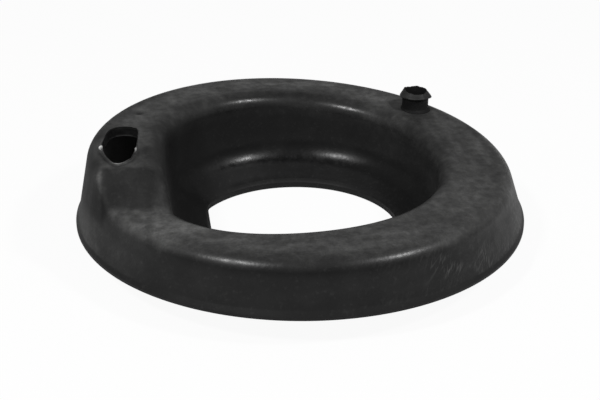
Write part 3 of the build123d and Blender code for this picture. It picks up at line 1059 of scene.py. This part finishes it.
def scratches(tree, turned):
    """thin pale lines in one direction, gathered in patches"""
    lines = noise(tree, SCRATCH_SIZE, SCRATCH_DETAIL, stretch=(1, 1, SCRATCH_STRETCH), turned=turned)
    return maths(tree, "MULTIPLY", between(tree, lines, *SCRATCH_RANGE), noise_layer(tree, *SCRATCH_PATCHES))


def scuffed(tree):
    """both directions of scratches, where the points' scuff value allows them"""
    lines = maths(tree, "ADD", *(scratches(tree, turned) for turned in SCRATCHES_TURNED))
    return maths(tree, "MULTIPLY", lines, attribute(tree, "scuff"), SCRATCH_AMOUNT)


print("scratches in", len(SCRATCHES_TURNED), "directions, amount", SCRATCH_AMOUNT)

# %% [markdown]
# The rubber is a dark, slightly waxy surface with pale dust over it. Two materials could be laid over each
# other, but one does both: its colour is a mix of the rubber's and the dust's, by the points' value, which
# also carries painted shade and painted highlights. The shine value on the points sets the roughness, broken
# up by blotches so that a highlight isn't one clean line. Two sizes of fine bumps keep the surface from
# looking like plastic.

# %% The rubber
RUBBER = (0.0046, 0.0046, 0.0047, 1)
DUST = (0.071, 0.071, 0.070, 1)
ROUGHEST, SHINIEST = 0.95, 0.21
BLOTCHES = (420, 4, 0.35, 0.58, 0.7, 1.0)
FINE_BUMPS, COARSE_BUMPS, COARSE_SHARE = (1100, 4), (160, 3), 2.0
BUMP_STRENGTH, BUMP_HEIGHT = 0.3, 0.0001
SPECULAR_LEVEL = 0.25


def rubber_material():
    """dust over black rubber, with scuffs on one side, shiny where it is rubbed, and fine bumps"""
    material = bpy.data.materials.new("dusty_rubber_with_painted_light")
    material.use_nodes = True
    tree = material.node_tree
    surface = tree.nodes["Principled BSDF"]
    amount = maths(tree, "ADD", uneven_dust(tree), scuffed(tree))
    put(tree, surface.inputs["Base Color"], blend(tree, "RGBA", amount, RUBBER, DUST))
    shine = maths(tree, "MULTIPLY", attribute(tree, "shine"), noise_layer(tree, *BLOTCHES))
    put(tree, surface.inputs["Roughness"], between(tree, shine, -1.0, 1.0, ROUGHEST, SHINIEST))
    coarse = maths(tree, "MULTIPLY", noise(tree, *COARSE_BUMPS), COARSE_SHARE)
    uneven = maths(tree, "ADD", noise(tree, *FINE_BUMPS), coarse)
    bump = node(tree, "ShaderNodeBump", Strength=BUMP_STRENGTH, Distance=BUMP_HEIGHT, Height=uneven)
    put(tree, surface.inputs["Normal"], bump.outputs[0])
    surface.inputs["Specular IOR Level"].default_value = SPECULAR_LEVEL
    return material


rubber = rubber_material()
for piece in (shell, nipple, roll):
    piece.data.materials.append(rubber)
    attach(piece, "root")
    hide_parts("spring_cap")
print("material", rubber.name, "with", len(rubber.node_tree.nodes), "nodes")

# %% [markdown]
# The cap stands on a plain white floor. Stronger lamps would make the floor white too, but they
# would bleach the rubber. So the camera sees the floor mostly as white light of its own, and the
# rest of it is an ordinary white surface, which keeps a faint shadow. The floor below the cap
# lies in its shade and has none of that light, apart from what is seen through the bore. Nor has
# the floor round the lip where the rubber mirrors it, so that the lip keeps its dark lower edge.
# Each of these places is a circle: its middle, and where its soft edge starts and ends, in metres.

# %% Floor
FLOOR_SIZE, FLOOR_GLOW, FLOOR_WHITE = 6, 0.94, (0.9, 0.9, 0.9, 1)
WHITE = (1, 1, 1, 1)
SHADE = ((0.0, 0.018), 0.062, 0.068)
SEEN_THROUGH_BORE = ((-0.0012, 0.0), 0.034, 0.038)
CONTACT = ((0.0, 0.0), 0.085, 0.130)


def beyond(tree, place, inner, outer):
    """0 within a circle on the floor and 1 outside it, with a soft edge between the two radii"""
    coordinates = node(tree, "ShaderNodeTexCoord").outputs["Object"]
    offset = node(tree, "ShaderNodeVectorMath", coordinates, (*place, 0))
    offset.operation = "DISTANCE"
    return between(tree, offset.outputs["Value"], inner, outer)


def glowing_share(tree):
    """how much of the floor's look is light of its own, by the kind of ray and the place"""
    path = tree.nodes.new("ShaderNodeLightPath")
    camera, mirror = path.outputs["Is Camera Ray"], path.outputs["Is Glossy Ray"]
    seen = maths(tree, "MAXIMUM", camera, mirror, path.outputs["Is Transmission Ray"])
    hidden = maths(tree, "SUBTRACT", beyond(tree, *SEEN_THROUGH_BORE), beyond(tree, *SHADE))
    lit = maths(tree, "SUBTRACT", 1.0, hidden)
    lit.node.use_clamp = True
    mirrored = maths(tree, "MULTIPLY", beyond(tree, *CONTACT), mirror)
    not_mirror = maths(tree, "SUBTRACT", 1.0, mirror)
    return maths(tree, "MULTIPLY", seen, lit, maths(tree, "MAXIMUM", mirrored, not_mirror), FLOOR_GLOW)


def floor_material():
    """an ordinary white surface, mixed with plain white light"""
    material = bpy.data.materials.new("white_floor")
    material.use_nodes = True
    tree = material.node_tree
    tree.nodes.remove(tree.nodes["Principled BSDF"])
    paint = node(tree, "ShaderNodeBsdfDiffuse", Color=FLOOR_WHITE)
    light = node(tree, "ShaderNodeEmission", Color=WHITE, Strength=1.0)
    both = node(tree, "ShaderNodeMixShader", glowing_share(tree), paint.outputs[0], light.outputs[0])
    put(tree, tree.nodes["Material Output"].inputs["Surface"], both.outputs[0])
    return material


bpy.ops.mesh.primitive_plane_add(size=FLOOR_SIZE, location=(0, 0, 0))
floor = bpy.context.object
floor.name = "floor"
floor.data.materials.append(floor_material())
print("floor", FLOOR_SIZE, "m wide, own light", FLOOR_GLOW)

# %% [markdown]
# The highlights tell where the lamps were. On a rounded edge the bright spot lies where the
# surface faces halfway between the lamp and the camera. The spots on the front shoulder, the
# back shoulder and the floor's fillet all agree on two small lamps, high up in front on the left
# and on the right, each about 40 degrees from straight above. Large soft boxes would wash the
# spots out, so the lamps are small discs.

# %% Lamps
LAMP_DISTANCE, LAMP_SIZE = 0.75, 0.08
LAMPS = {"left_lamp": ((-0.42, -0.50, 0.76), 2.85), "right_lamp": ((0.60, -0.31, 0.735), 2.35)}


def soft_lamp(name, direction, power):
    """a round lamp at the fixed distance in this direction, facing the cap"""
    data = bpy.data.lights.new(name, "AREA")
    data.shape = "DISK"
    data.size = LAMP_SIZE
    data.energy = power
    lamp = bpy.data.objects.new(name, data)
    towards = Vector(direction).normalized()
    lamp.location = towards * LAMP_DISTANCE
    lamp.rotation_euler = towards.to_track_quat("Z", "Y").to_euler()
    bpy.context.scene.collection.objects.link(lamp)
    print(name, power, "W at", [round(v, 2) for v in lamp.location])


for name, (direction, power) in LAMPS.items():
    soft_lamp(name, direction, power)

# %% [markdown]
# The room round the lamps fills the shadows. A dim even sky stands for it, which the camera
# itself sees as white, like the floor.

# %% Sky
SKY = 0.18
world = bpy.data.worlds.new("sky")
bpy.context.scene.world = world
world.use_nodes = True
sky_tree = world.node_tree
to_camera = sky_tree.nodes.new("ShaderNodeLightPath").outputs["Is Camera Ray"]
background = sky_tree.nodes["Background"]
put(sky_tree, background.inputs["Color"], WHITE)
put(sky_tree, background.inputs["Strength"], between(sky_tree, to_camera, 0, 1, SKY, 1.0))
print("sky strength", SKY)

# %% [markdown]
# The camera stands where the photographer's did. Its height and distance follow from how the
# round lip narrows from front to back, and its lens from the size of the lip in the picture. It
# could be aimed by a constraint, but a chain of moves says what was measured: out from the lip's
# middle, up by the angle, back by the distance, and a slight roll.

# %% Camera
VIEW_DISTANCE = 350.0
VIEW_HEIGHT = math.radians(25.33)
VIEW_ROLL = math.radians(0.26)
VIEW_SIDE, VIEW_UP = -0.077, 1.72
FOCAL_LENGTH, SENSOR_WIDTH, CLIP_START = 66.02, 36.0, 0.01

lens = bpy.data.cameras.new("camera")
lens.lens, lens.sensor_width, lens.clip_start = FOCAL_LENGTH, SENSOR_WIDTH, CLIP_START
camera = bpy.data.objects.new("camera", lens)
bpy.context.scene.collection.objects.link(camera)
camera.matrix_world = (
    Matrix.Translation(Vector((VIEW_SIDE, 0, LIP_LEVEL)) * MM)
    @ Matrix.Rotation(math.pi / 2 - VIEW_HEIGHT, 4, "X")
    @ Matrix.Translation(Vector((0, VIEW_UP, VIEW_DISTANCE)) * MM)
    @ Matrix.Rotation(VIEW_ROLL, 4, "Z")
)
bpy.context.scene.camera = camera
bpy.context.scene.view_settings.view_transform = "Standard"
print("camera at", [round(v / MM, 1) for v in camera.location])
